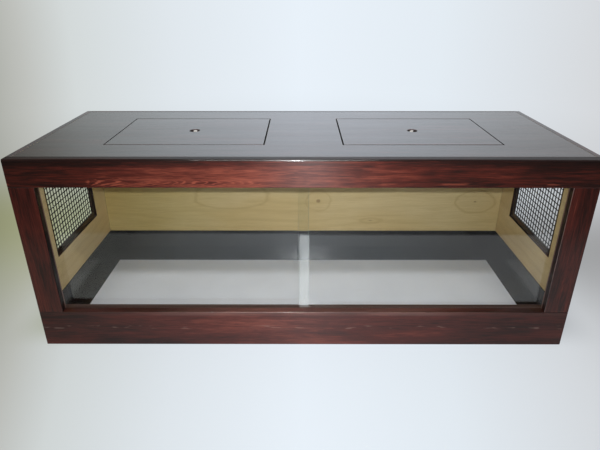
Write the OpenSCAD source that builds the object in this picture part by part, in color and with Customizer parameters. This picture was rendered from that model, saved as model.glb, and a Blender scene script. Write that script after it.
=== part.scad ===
// Terrarium cabinet: a stained plywood carcase with a glued-up front frame, two glass panes that
// slide in a double track, two lift-out hatches in the top, a mesh window in each end and a black
// waterproof lining round the bottom. Millimetres, +Z up. The origin is the middle of the underside.

/* [Cabinet] */
// Overall width, left to right
cabinet_w = 1200; // [1080:10:1500]
// Overall depth, front to back
cabinet_d = 450; // [410:5:600]
// Overall height
cabinet_h = 450; // [430:5:600]
// Thickness of the bottom, side, back and top boards
board_t = 12; // [9:1:18]

/* [Front frame] */
// Thickness of the rails and stiles
frame_t = 18; // [14:1:24]
// Height of the top rail
top_rail_h = 60; // [45:1:80]
// Height of the bottom rail
bottom_rail_h = 90; // [65:1:120]
// Width of each stile
stile_w = 54; // [40:1:80]
// Width of the jambs, which stand behind the stiles
jamb_w = 26; // [16:1:36]
// Radius on the top front edge of the top rail
top_edge_r = 4; // [1:0.5:8]
// Radius on the edges of the rails and stiles round the opening
opening_edge_r = 1.5; // [0.5:0.5:4]

/* [Glass and tracks] */
// Depth of the boards behind the frame that carry the tracks
batten_d = 20; // [17:1:30]
// Glass thickness
glass_t = 4; // [3:0.5:5]
// Gap on each side of the glass in its groove
glass_gap = 0.5; // [0.2:0.1:0.8]
// Gap between a closed pane and its jamb
pane_end_gap = 0.5; // [0.3:0.1:3]
// How far the two panes overlap in the middle
pane_overlap = 22; // [10:1:60]
// How far the glass reaches up into the upper track
glass_head = 5; // [3:0.5:7]
// Wall thickness of the tracks
track_wall = 1.3; // [1:0.1:1.6]
// Thickness of the tracks behind their grooves
track_web = 1.5; // [1:0.1:2.5]
// Height of the lower track
lower_track_h = 7; // [5:0.5:10]
// Height of the upper track
upper_track_h = 13; // [11:0.5:18]
// Distance from the back of the frame to the front of the tracks
track_setback = 2; // [0:0.5:3]
// Height of the underside of the header board above the bottom of the top rail
header_rise = 13; // [0:1:18]

/* [Hatches] */
// Width of each hatch opening
hatch_w = 350; // [250:5:400]
// Depth of each hatch opening
hatch_d = 250; // [180:5:270]
// Distance from each end of the cabinet to the hatch opening next to it
hatch_side = 165; // [140:5:200]
// Distance from the front face to the hatch openings
hatch_front = 106; // [80:1:125]
// Gap round a hatch in its opening
hatch_gap = 2.5; // [0.5:0.25:3]
// Diameter of the finger hole
finger_hole_d = 22; // [16:1:30]
// Radius round the top of the finger hole
finger_edge_r = 3; // [1:0.5:5]
// Width of the ledge battens under a hatch
ledge_w = 20; // [17:1:26]
// Thickness of the ledge battens
ledge_t = 12; // [8:1:18]
// How far the ledge reaches in under the hatch
ledge_lip = 8; // [4:1:9]

/* [Mesh windows] */
// Width of the window cut in each side board
vent_w = 250; // [180:5:270]
// Height of the window
vent_h = 196; // [120:1:205]
// Height of the bottom of the window above the underside
vent_bottom = 172; // [125:1:180]
// Distance from the window to the back board
vent_back_gap = 75; // [40:1:80]
// Width of the bead round the window
bead_w = 13; // [6:0.5:16]
// Thickness of the bead
bead_t = 5.2; // [3:0.1:6]
// Thickness of the wires of the mesh
wire_t = 2.4; // [1.2:0.1:2.8]
// Spacing of the wires
wire_pitch = 14; // [13.5:0.1:26]
// Depth of the mesh below the outer face of the side board
mesh_inset = 0.4; // [0:0.1:0.7]

/* [Lining] */
// Thickness of the lining sheet
lining_t = 2; // [1:0.5:4]
// Distance from the top of the bottom rail down to the top of the lining
lining_drop = 1; // [0:1:20]
// Width of the lining on the floor at the sides and the front
lining_side = 33; // [10:1:80]
// Width of the lining on the floor at the back
lining_back = 46; // [10:1:80]

/* [Screws and joints] */
// Shank diameter of the ledge screws
ledge_screw_d = 3.5; // [2.5:0.5:4]
// How far the ledge screws reach into the top board
ledge_screw_bite = 7; // [4:0.5:8]
// Shank diameter of the base screws
base_screw_d = 4; // [3:0.5:5]
// How far the base screws reach into the sill board
base_screw_bite = 25; // [12:1:40]
// Number of base screws
base_screw_count = 5; // [2:1:9]
// Distance from the side boards to the outer base screws
base_screw_margin = 60; // [20:5:120]
// Gap between a screw and its hole
screw_gap = 0.1; // [0.05:0.05:0.2]
// Glue line between the ends of battens and beads
glue_gap = 0.2; // [0.1:0.05:0.4]

/* [Hidden] */
$fn = 96;

// How far a cut runs past the surface that it opens
cut_run = 1;
// Height and diameter of a screw's flat head as shares of its shank diameter
head_height_ratio = 0.6;
head_width_ratio = 2;
// Number of flats that stand for the round of a screw and of its hole
screw_sides = 12;

stain = [0.25, 0.08, 0.06];
ply = [0.80, 0.71, 0.52];
white = [0.90, 0.91, 0.90];
black = [0.08, 0.08, 0.09];
track_brown = [0.27, 0.17, 0.11];
clear = [0.78, 0.90, 0.86, 0.35];
dark_wire = [0.16, 0.16, 0.17];
steel = [0.72, 0.70, 0.62];

// Planes across the cabinet, counted from the origin
y_front = -cabinet_d / 2;
y_frame = y_front + frame_t;
y_batten = y_frame + batten_d;
y_back = cabinet_d / 2 - board_t;
x_outer = cabinet_w / 2;
x_side = x_outer - board_t;
x_opening = x_outer - stile_w;
x_jamb = x_side - jamb_w;
z_floor = board_t;
z_sill = bottom_rail_h;
z_sill_board = z_sill - lower_track_h;
z_head = cabinet_h - top_rail_h;
z_top = cabinet_h - board_t;
z_header = z_head + header_rise;

// Tracks and panes
groove_w = glass_t + 2 * glass_gap;
track_w = 2 * groove_w + 3 * track_wall;
y_track = y_frame + track_setback;
y_front_groove = y_track + track_wall + groove_w / 2;
y_rear_groove = y_front_groove + groove_w + track_wall;
z_glass = z_sill_board + track_web;
z_glass_top = z_header - upper_track_h + glass_head;
pane_w = x_jamb + pane_overlap / 2 - pane_end_gap;
pane_x = x_jamb - pane_end_gap - pane_w / 2;

// Hatches
hatch_x = x_outer - hatch_side - hatch_w / 2;
hatch_y = y_front + hatch_front + hatch_d / 2;
ledge_seat = ledge_w - ledge_lip;
ledge_screw_points = [
    for (side = [-1, 1], step = [-1, 1]) [step * hatch_w / 4, side * (hatch_d + ledge_seat) / 2],
    for (side = [-1, 1], step = [-1, 1]) [side * (hatch_w + ledge_seat) / 2, step * hatch_d / 4]
];

// Mesh windows
vent_y = y_back - vent_back_gap - vent_w / 2;
vent_z = vent_bottom + vent_h / 2;
x_mesh = x_outer - mesh_inset - wire_t;
x_bead = x_mesh - bead_t;
mesh_w = vent_w - 2 * glue_gap;
mesh_h = vent_h - 2 * glue_gap;
mesh_columns = floor((mesh_w - wire_t) / wire_pitch);
mesh_rows = floor((mesh_h - wire_t) / wire_pitch);

// Lining
z_lining = z_sill - lining_drop;

// A block given by its lowest and its highest corner
module block(low, high) {
    translate(low) cube(high - low);
}

// Stretches a flat section, drawn as depth by height, along the width of the cabinet
module along_width(length) {
    translate([-length / 2, 0, 0]) rotate([90, 0, 90]) linear_extrude(length) children();
}

// What is cut away outside a quarter round of radius r in the corner at the origin
module corner_waste(r) {
    difference() {
        translate([-cut_run, -cut_run]) square(r + cut_run);
        translate([r, r]) circle(r);
    }
}

// Section of a rail: its front face is at zero, with a radius on its lower and upper front edges
module rail_section(height, lower_r, upper_r) {
    difference() {
        square([frame_t, height]);
        corner_waste(lower_r);
        translate([0, height]) mirror([0, 1]) corner_waste(upper_r);
    }
}

module front_top_rail() {
    color(stain)
    translate([0, y_front, z_head])
    along_width(cabinet_w)
    rail_section(top_rail_h, opening_edge_r, top_edge_r);
}

module front_bottom_rail() {
    color(stain)
    translate([0, y_front, 0])
    along_width(cabinet_w)
    rail_section(bottom_rail_h, opening_edge_r, opening_edge_r);
}

// The right stile, between the rails, with its inner front edge rounded
module stile() {
    color(stain)
    translate([x_opening, y_front, z_sill])
    linear_extrude(z_head - z_sill)
    difference() {
        square([stile_w, frame_t]);
        corner_waste(opening_edge_r);
    }
}

module front_left_stile() {
    mirror([1, 0, 0]) stile();
}

module front_right_stile() {
    stile();
}

// A flat-headed screw pointing up, its head's face at zero; grow makes its counterbored hole
module screw(d, length, grow = 0) {
    $fn = screw_sides;
    translate([0, 0, -grow]) cylinder(head_height_ratio * d + grow, d = head_width_ratio * d + 2 * grow);
    cylinder(length + grow, d = d + 2 * grow);
}

// The screws that hold the sill board down on the bottom board
module place_base_screws(grow = 0) {
    span = 2 * (x_side - base_screw_margin);
    for (i = [0 : base_screw_count - 1])
        translate([-span / 2 + i * span / (base_screw_count - 1), y_frame + batten_d / 2, 0])
        screw(base_screw_d, board_t + base_screw_bite, grow);
}

// The screws that hold the ledges of both hatches up against the top board
module place_ledge_screws(grow = 0) {
    for (side = [-1, 1], p = ledge_screw_points)
        translate([side * hatch_x + p[0], hatch_y + p[1], z_top - ledge_t])
        screw(ledge_screw_d, ledge_t + ledge_screw_bite, grow);
}

module base_screws() {
    color(steel) place_base_screws();
}

module ledge_screws() {
    color(steel) place_ledge_screws();
}

module bottom_board() {
    color(white)
    difference() {
        block([-x_side, y_frame, 0], [x_side, y_back, board_t]);
        place_base_screws(screw_gap);
    }
}

// The right side board, with its window
module side_board() {
    color(stain)
    difference() {
        block([x_side, y_frame, 0], [x_outer, cabinet_d / 2, cabinet_h]);
        block(
            [x_side - cut_run, vent_y - vent_w / 2, vent_bottom],
            [x_outer + cut_run, vent_y + vent_w / 2, vent_bottom + vent_h]
        );
    }
}

module left_side_board() {
    mirror([1, 0, 0]) side_board();
}

module right_side_board() {
    side_board();
}

module back_board() {
    color(ply) block([-x_side, y_back, 0], [x_side, cabinet_d / 2, cabinet_h]);
}

module top_board() {
    color(stain)
    difference() {
        block([-x_side, y_frame, z_top], [x_side, y_back, cabinet_h]);
        for (side = [-1, 1])
            block(
                [side * hatch_x - hatch_w / 2, hatch_y - hatch_d / 2, z_top - cut_run],
                [side * hatch_x + hatch_w / 2, hatch_y + hatch_d / 2, cabinet_h + cut_run]
            );
        place_ledge_screws(screw_gap);
    }
}

// The board that carries the lower track, behind the bottom rail
module sill_board() {
    color(stain)
    difference() {
        block([-x_side, y_frame, z_floor], [x_side, y_batten, z_sill_board]);
        place_base_screws(screw_gap);
    }
}

// The board that carries the upper track, behind the top rail
module header_board() {
    color(stain) block([-x_side, y_frame, z_header], [x_side, y_batten, z_top]);
}

// The right jamb, which a closed pane meets
module jamb() {
    color(stain) block([x_jamb, y_frame, z_sill_board], [x_side, y_batten, z_header]);
}

module left_jamb() {
    mirror([1, 0, 0]) jamb();
}

module right_jamb() {
    jamb();
}

// Section of a double track whose grooves open upwards, with its front at zero
module track_section(height) {
    difference() {
        square([track_w, height]);
        for (y = [track_wall, 2 * track_wall + groove_w])
            translate([y, track_web]) square([groove_w, height]);
    }
}

module lower_glass_track() {
    color(track_brown)
    translate([0, y_track, z_sill_board])
    along_width(2 * x_jamb)
    track_section(lower_track_h);
}

module upper_glass_track() {
    color(track_brown)
    translate([0, y_track, z_header])
    mirror([0, 0, 1])
    along_width(2 * x_jamb)
    track_section(upper_track_h);
}

// A pane standing in the groove at y, with its middle at x
module pane(x, y) {
    color(clear)
    block(
        [x - pane_w / 2, y - glass_t / 2, z_glass],
        [x + pane_w / 2, y + glass_t / 2, z_glass_top]
    );
}

module left_glass() {
    pane(-pane_x, y_rear_groove);
}

module right_glass() {
    pane(pane_x, y_front_groove);
}

// A hatch about the origin, its underside at zero, with a finger hole rounded at the top
module hatch() {
    lid_w = hatch_w - 2 * hatch_gap;
    lid_d = hatch_d - 2 * hatch_gap;
    hole_r = finger_hole_d / 2;
    difference() {
        block([-lid_w / 2, -lid_d / 2, 0], [lid_w / 2, lid_d / 2, board_t]);
        rotate_extrude() {
            translate([0, -cut_run]) square([hole_r, board_t + 2 * cut_run]);
            translate([0, board_t - finger_edge_r])
            difference() {
                square([hole_r + finger_edge_r, finger_edge_r + cut_run]);
                translate([hole_r + finger_edge_r, 0]) circle(finger_edge_r);
            }
        }
    }
}

module left_hatch() {
    color(stain) translate([-hatch_x, hatch_y, z_top]) hatch();
}

module right_hatch() {
    color(stain) translate([hatch_x, hatch_y, z_top]) hatch();
}

// Four battens round an opening, about the origin: two run the full width, two fit between them
module four_battens(opening_w, opening_h, batten_w, outer, thickness) {
    half_w = opening_w / 2 + outer;
    half_h = opening_h / 2 + outer;
    for (side = [0, 1])
        mirror([0, side, 0])
        block([-half_w, half_h - batten_w, 0], [half_w, half_h, thickness]);
    for (side = [0, 1])
        mirror([side, 0, 0])
        block(
            [half_w - batten_w, -half_h + batten_w + glue_gap, 0],
            [half_w, half_h - batten_w - glue_gap, thickness]
        );
}

// The ledge that the hatch at x rests on, screwed up under the top board
module hatch_ledge(x) {
    color(ply)
    difference() {
        translate([x, hatch_y, z_top - ledge_t])
        four_battens(hatch_w, hatch_d, ledge_w, ledge_seat, ledge_t);
        place_ledge_screws(screw_gap);
    }
}

module left_hatch_ledge() {
    hatch_ledge(-hatch_x);
}

module right_hatch_ledge() {
    hatch_ledge(hatch_x);
}

// Turns what lies flat about the origin to stand in the right window, its underside at x
module in_window(x) {
    translate([x, vent_y, vent_z]) rotate([90, 0, 90]) children();
}

// The bead inside the right window, which the mesh is bonded to
module vent_bead() {
    color(stain) in_window(x_bead) four_battens(vent_w, vent_h, bead_w, 0, bead_t);
}

module left_vent_bead() {
    mirror([1, 0, 0]) vent_bead();
}

module right_vent_bead() {
    vent_bead();
}

// The welded mesh of the right window: square gaps between wires, and a rim on the bead
module vent_mesh() {
    color(dark_wire)
    in_window(x_mesh)
    linear_extrude(wire_t)
    difference() {
        square([mesh_w, mesh_h], center = true);
        for (i = [1 : mesh_columns], j = [1 : mesh_rows])
            translate([i - (mesh_columns + 1) / 2, j - (mesh_rows + 1) / 2] * wire_pitch)
            square(wire_pitch - wire_t, center = true);
    }
}

module left_vent_mesh() {
    mirror([1, 0, 0]) vent_mesh();
}

module right_vent_mesh() {
    vent_mesh();
}

// Lining of the right side: a strip up the wall and a strip on the floor, folded from one sheet
module side_lining() {
    color(black) {
        block([x_side - lining_t, y_batten + lining_t, z_floor], [x_side, y_back - lining_t, z_lining]);
        block(
            [x_side - lining_side, y_batten + lining_side, z_floor],
            [x_side, y_back - lining_back, z_floor + lining_t]
        );
    }
}

module left_lining() {
    mirror([1, 0, 0]) side_lining();
}

module right_lining() {
    side_lining();
}

module back_lining() {
    x_floor = x_side - lining_t;
    color(black) {
        block([-x_side, y_back - lining_t, z_floor], [x_side, y_back, z_lining]);
        block([-x_floor, y_back - lining_back, z_floor], [x_floor, y_back, z_floor + lining_t]);
    }
}

module front_lining() {
    x_floor = x_side - lining_t;
    color(black) {
        block([-x_side, y_batten, z_floor], [x_side, y_batten + lining_t, z_sill_board]);
        block([-x_floor, y_batten, z_floor], [x_floor, y_batten + lining_side, z_floor + lining_t]);
    }
}

bottom_board();
left_side_board();
right_side_board();
back_board();
top_board();
front_top_rail();
front_bottom_rail();
front_left_stile();
front_right_stile();
sill_board();
header_board();
left_jamb();
right_jamb();
lower_glass_track();
upper_glass_track();
left_glass();
right_glass();
left_hatch();
right_hatch();
left_hatch_ledge();
right_hatch_ledge();
left_vent_bead();
right_vent_bead();
left_vent_mesh();
right_vent_mesh();
left_lining();
right_lining();
back_lining();
front_lining();
ledge_screws();
base_screws();
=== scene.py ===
"""Looks of the terrarium cabinet: wood, ply, glass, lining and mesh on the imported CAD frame.

Metres, in the row frame: +X along the cabinet, -Y its front, +Z up, origin under its middle.
A seed only moves a finish to another place in the noise, so that no two boards look the same.
"""

import math

import bpy
from mathutils import Euler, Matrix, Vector


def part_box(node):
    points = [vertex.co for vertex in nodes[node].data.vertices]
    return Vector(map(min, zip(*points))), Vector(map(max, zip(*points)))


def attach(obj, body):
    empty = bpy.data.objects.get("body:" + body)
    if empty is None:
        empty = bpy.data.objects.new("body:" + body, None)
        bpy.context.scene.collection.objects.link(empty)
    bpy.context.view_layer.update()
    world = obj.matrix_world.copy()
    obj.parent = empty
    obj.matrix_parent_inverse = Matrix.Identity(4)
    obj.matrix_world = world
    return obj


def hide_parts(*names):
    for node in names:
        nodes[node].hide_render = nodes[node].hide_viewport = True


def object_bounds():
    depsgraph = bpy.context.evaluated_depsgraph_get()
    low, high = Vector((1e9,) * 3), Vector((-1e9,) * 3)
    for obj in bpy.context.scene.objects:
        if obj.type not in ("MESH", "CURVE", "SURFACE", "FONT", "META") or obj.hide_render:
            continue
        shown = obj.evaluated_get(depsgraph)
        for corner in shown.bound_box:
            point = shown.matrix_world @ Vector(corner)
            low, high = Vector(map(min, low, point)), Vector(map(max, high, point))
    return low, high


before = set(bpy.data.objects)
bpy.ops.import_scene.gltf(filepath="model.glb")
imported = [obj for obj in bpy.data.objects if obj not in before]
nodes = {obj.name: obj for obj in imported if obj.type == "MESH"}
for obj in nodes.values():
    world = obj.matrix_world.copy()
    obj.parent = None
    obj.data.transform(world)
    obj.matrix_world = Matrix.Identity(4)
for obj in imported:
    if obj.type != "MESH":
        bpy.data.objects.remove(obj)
cad_low, cad_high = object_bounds()
SIDES = ("left", "right")

# Camera, fitted to the corners of the cabinet in the photograph
CAMERA_PLACE = (-0.0053, -1.1845, 0.7487)
CAMERA_TURN = (1.1401723, 0.0002020, 0.0022842)
CAMERA_LENS_MM = 30.32
SENSOR_MM = 36.0
CLIP_NEAR, CLIP_FAR = 0.01, 200.0

# Strip light on the ceiling in front of the cabinet
STRIP_PLACE = (0.0, -2.0, 2.50)
STRIP_LENGTH, STRIP_WIDTH = 2.2, 0.16
STRIP_POWER = 36.0
STRIP_COLOUR = (1, 0.98, 0.94)
# Small lamp beside and above the camera
LAMP_OFFSET = (0.033, 0.0, 0.030)
LAMP_SIZE = 0.016
LAMP_POWER = 2.35
LAMP_COLOUR = (0.96, 0.98, 1.0)
LAMP_SPREAD = math.radians(86)
# Ambient light from behind and above, and from the room in front
AMBIENT = 0.54
AMBIENT_FRONT = 0.08
AMBIENT_COLOUR = (0.97, 0.99, 1.0, 1)

BROWN_DARK = (0.0060, 0.0022, 0.0017, 1)
BROWN_MID = (0.020, 0.0046, 0.0030, 1)
BROWN_RED = (0.080, 0.0120, 0.0070, 1)
BROWN_LIGHT = (0.260, 0.0590, 0.0340, 1)
# Pale brown of worn wood, and of painted highlight on rounded edges
BROWN_WORN_AND_LIT = (0.230, 0.1350, 0.1150, 1)
# Pale grey of the painted glint in the finger holes
GLINT_PALE = (0.66, 0.63, 0.60, 1)
PLY_PALE = (0.800, 0.645, 0.370, 1)
PLY_TAN = (0.710, 0.540, 0.262, 1)
PLY_LINE = (0.500, 0.340, 0.150, 1)
PLY_KNOT = (0.300, 0.180, 0.085, 1)
# Tints of the painted shade at the ends of the back
OLIVE_END_SHADE = (0.84, 0.83, 0.62, 1)
TAN_END_SHADE = (0.92, 0.91, 0.82, 1)
WHITE_CLEAN = (0.770, 0.815, 0.925, 1)
WHITE_DULL = (0.720, 0.760, 0.862, 1)
WHITE_SCUFF = (0.58, 0.57, 0.54, 1)
LINING_BLACK = (0.0105, 0.0112, 0.013, 1)
LINING_DUST = (0.020, 0.021, 0.022, 1)
TRACK_BROWN = (0.060, 0.036, 0.026, 1)
TRACK_WORN = (0.30, 0.24, 0.20, 1)
# Lighter brown for the lower track's top faces: painted highlight
LIP_HIGHLIGHT = (0.175, 0.092, 0.102, 1)
LIP_HIGHLIGHT_WORN = (0.36, 0.28, 0.27, 1)
WIRE_BLACK = (0.014, 0.014, 0.015, 1)
WIRE_RUBBED = (0.040, 0.039, 0.037, 1)
STEEL_YELLOW = (0.66, 0.58, 0.36, 1)
STEEL_GREY = (0.60, 0.59, 0.56, 1)
GLASS_CLEAR = (0.985, 0.995, 0.988, 1)
GLASS_TINT = (0.965, 0.975, 0.970, 1)
# Pale film of the painted reflection where the panes overlap
GLASS_REFLECTION_FILM = (0.86, 0.90, 0.91, 1)
EDGE_GREEN = (0.12, 0.20, 0.16, 1)
EDGE_PALE = (0.21, 0.31, 0.25, 1)

# Noise in a board's grain: how many waves to the metre along it and across it
WANDER = (2.4, 11)
STREAK = (6.5, 150)
VEIN = (24, 430)
FIBRE = (30, 900)
CLOUD = (5, 24)
SMEAR = (3, 22)
# How far a seed moves the noise along the grain, across it and into the board
SEED_SHIFT = (3.17, 1.31, 0.73)
# How far the grain of stained wood sways to both sides
SWAY = 0.026
# The tone of stained wood, and what lively grain adds to it on average, which is taken off again
STAIN_TONE, GRAIN_MEAN = 0.375, 0.58
# How far in from a sharp edge wood and plastic are rubbed
WOOD_WEAR = 0.0012
TRACK_WEAR = 0.0006
# The thickness of a dark and a pale layer of ply together
LAYER_PAIR = 0.0030


class Tree:
    """Short calls that build one node tree."""

    def __init__(self, owner):
        owner.use_nodes = True
        self.tree = owner.node_tree
        self.tree.nodes.clear()

    def put(self, kind, inputs=(), out=0, **settings):
        """Adds a node. Its inputs are links or plain values, by place or by name."""
        node = self.tree.nodes.new("ShaderNode" + kind)
        for key, value in settings.items():
            setattr(node, key, value)
        pairs = inputs.items() if isinstance(inputs, dict) else enumerate(inputs)
        for key, value in pairs:
            if isinstance(value, bpy.types.NodeSocket):
                self.tree.links.new(value, node.inputs[key])
            else:
                node.inputs[key].default_value = value
        return node.outputs[out] if len(node.outputs) else None

    def math(self, operation, *values):
        return self.put("Math", values, operation=operation)

    def add(self, first, *rest):
        for value in rest:
            first = self.math("ADD", first, value)
        return first

    def times(self, a, b):
        return self.math("MULTIPLY", a, b)

    def over(self, a, b):
        return self.math("DIVIDE", a, b)

    def size(self, value):
        """The value without its sign."""
        return self.math("ABSOLUTE", value)

    def length(self, a, b):
        """The length of a flat vector."""
        return self.math("SQRT", self.add(self.times(a, a), self.times(b, b)))

    def bell(self, value, sharpness=1.0):
        """1 where value is 0, falling off on both sides."""
        return self.math("EXPONENT", self.times(self.times(value, value), -sharpness))

    def wave(self, value, period):
        """A sine of value, from -1 to 1."""
        return self.math("SINE", self.times(value, 2 * math.pi / period))

    def crest(self, value, period, power):
        """A wave of value from 0 to 1, with narrow crests."""
        return self.math("POWER", self.add(self.times(self.wave(value, period), 0.5), 0.5), power)

    def vector(self, x, y, z):
        return self.put("CombineXYZ", (x, y, z))

    def noise(self, vector, scale=1.0, detail=2.0, rough=0.5):
        """Noise from 0 to 1, with its middle at 0.5."""
        return self.put(
            "TexNoise",
            {"Vector": vector, "Scale": scale, "Detail": detail, "Roughness": rough},
        )

    def drawn_noise(self, scale, **more):
        """Noise with its own scale along each axis."""
        return self.noise(self.put("Mapping", {"Vector": self.place(), "Scale": scale}), **more)

    def step(self, value, low, high, bottom=0.0, top=1.0):
        """A soft step of value, from bottom at low to top at high."""
        return self.put(
            "MapRange",
            {"Value": value, "From Min": low, "From Max": high, "To Min": bottom, "To Max": top},
            interpolation_type="SMOOTHSTEP",
        )

    def mix(self, share, a, b, blend="MIX"):
        return self.put("Mix", {0: share, 6: a, 7: b}, out=2, data_type="RGBA", blend_type=blend)

    def ramp(self, value, *stops):
        """A colour that runs through (place, colour) stops."""
        colour = self.put("ValToRGB", (value,))
        elements = colour.node.color_ramp.elements
        while len(elements) < len(stops):
            elements.new(0.5)
        for element, (place, shade) in zip(elements, stops):
            element.position = place
            element.color = shade
        return colour

    def place(self):
        """The point on the piece, in the row frame at rest."""
        return self.put("TexCoord", out=3)

    def split(self, vector):
        node = self.put("SeparateXYZ", (vector,)).node
        return node.outputs[0], node.outputs[1], node.outputs[2]

    def bump(self, height, strength, distance):
        return self.put("Bump", {"Height": height, "Strength": strength, "Distance": distance})

    def ray(self, kind):
        """1 for light rays of that kind."""
        return self.put("LightPath").node.outputs[f"Is {kind} Ray"]

    def mix_shader(self, share, a, b):
        return self.put("MixShader", (share, a, b))

    def surface(self, shader):
        self.put("OutputMaterial", {"Surface": shader})

    def principled(self, **inputs):
        return self.put("BsdfPrincipled", {k.replace("_", " "): v for k, v in inputs.items()})


def material(name):
    made = bpy.data.materials.new(name)
    return made, Tree(made)


def along_grain(t, grain, seed):
    """The point as (along, across, deep) for a board whose grain runs along that axis."""
    parts = dict(zip("xyz", t.split(t.place())))
    order = [grain] + [k for k in "xyz" if k != grain]
    return [t.add(parts[k], shift * seed) for k, shift in zip(order, SEED_SHIFT)]


def grain_noise(t, point, stretch, detail, rough=0.5):
    """Noise drawn out along the grain."""
    along, across = stretch
    a, b, c = point
    drawn = t.vector(t.times(a, along), t.times(b, across), t.times(c, across))
    return t.noise(drawn, detail=detail, rough=rough)


def edge_wear(t, reach):
    """1 on the edges of a board and 0 on its faces."""
    round_normal = t.put("Bevel", (reach,), samples=4)
    normal = t.put("NewGeometry", out=1)
    facing = t.put("VectorMath", (round_normal, normal), out=1, operation="DOT_PRODUCT")
    return t.step(facing, 0.99, 0.80)


def figure_and_glow(t, x, figure_glow):
    """Lighter grain with a painted glow: (its middle along X, half its length, how light)."""
    middle, half, lift = figure_glow
    return t.times(t.bell(t.over(t.add(x, -middle), half)), lift)


# Flames: how close the arches follow each other along X, how sharply they bend, over what length
# they fade in and out, and how light they are
FLAME_PERIOD = 0.024
FLAME_ARCH = 620.0
FLAME_FADE_IN, FLAME_FADE_OUT = 0.05, 0.12
FLAME_LIGHT = 0.24


def flame_light(t, x, z, wander, seed, flames):
    """Nested arches of light grain: (start, end, height, half height)."""
    start, end, height, half = flames
    rise = t.add(z, -height)
    bend = t.noise(t.vector(t.times(x, 9), t.times(z, 60), seed), detail=3, rough=0.6)
    arch = t.times(t.times(rise, rise), FLAME_ARCH)
    arch = t.add(x, arch, t.times(wander, 0.20), t.times(bend, 0.11))
    line = t.times(t.crest(arch, FLAME_PERIOD, 4.0), t.step(bend, 0.36, 0.60, 0.4, 1.5))
    level = t.bell(t.times(rise, 1 / half))
    fade_in = t.step(x, start, start + FLAME_FADE_IN)
    fade_out = t.step(x, end, end - FLAME_FADE_OUT)
    return t.times(t.times(line, FLAME_LIGHT), t.times(level, t.times(fade_in, fade_out)))


# Where along X the darker upper edge starts, and where it is darkest
DARK_EDGE_LEFT = (0.10, -0.25)


def edge_darkening(t, x, z, darker_edge):
    """Darker towards an edge, most at the left: (start along Z, the edge, how dark)."""
    start, edge, drop = darker_edge
    at_left = t.step(x, *DARK_EDGE_LEFT, 0.4, 1.0)
    return t.times(t.times(t.step(z, start, edge), at_left), -drop)


def with_worn_lit_stain(t, colour, x, z, cloud, worn_lit):
    """Worn stain and painted highlight at an edge: (start along Z, the edge, how much, reach along
    X).
    """
    start, edge, most, reach = worn_lit
    near = t.step(t.size(x), 0.6 * reach, reach, 1.0, 0.2)
    paling = t.times(t.step(z, start, edge), t.step(cloud, 0.25, 0.70, 0.35 * most, most))
    return t.mix(t.times(paling, near), colour, BROWN_WORN_AND_LIT)


def with_flecks(t, colour, x, z, seed, flecks):
    """Short light marks in a row: (height, half height, colour)."""
    height, half, fleck_colour = flecks
    row = t.step(t.size(t.add(z, -height)), half, 0.5 * half)
    chip = t.noise(t.vector(t.times(x, 21), 0.5 * seed, t.times(z, 120)), detail=2)
    return t.mix(t.times(row, t.step(chip, 0.56, 0.66, 0.0, 0.50)), colour, fleck_colour)


def with_pale_back_line(t, colour, y, back_line):
    """A pale line along a back edge: (where along Y, width)."""
    place, wide = back_line
    pale_share = t.step(y, place - wide, place - 0.7 * wide)
    return t.mix(t.times(pale_share, 0.90), colour, BROWN_WORN_AND_LIT)


# Over what height the painted glint fades in below its top
GLINT_FADE = 0.0012


def with_painted_glint(t, colour, x, z, painted_glint):
    """A painted glint, a pale spot: (distance from the middle plane, half width, top)."""
    place, half, top = painted_glint
    beside = t.size(t.add(t.size(x), -place))
    spot = t.times(t.step(beside, half, 0.6 * half), t.step(z, top, top - GLINT_FADE))
    return t.mix(t.times(spot, 0.95), colour, GLINT_PALE)


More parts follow.
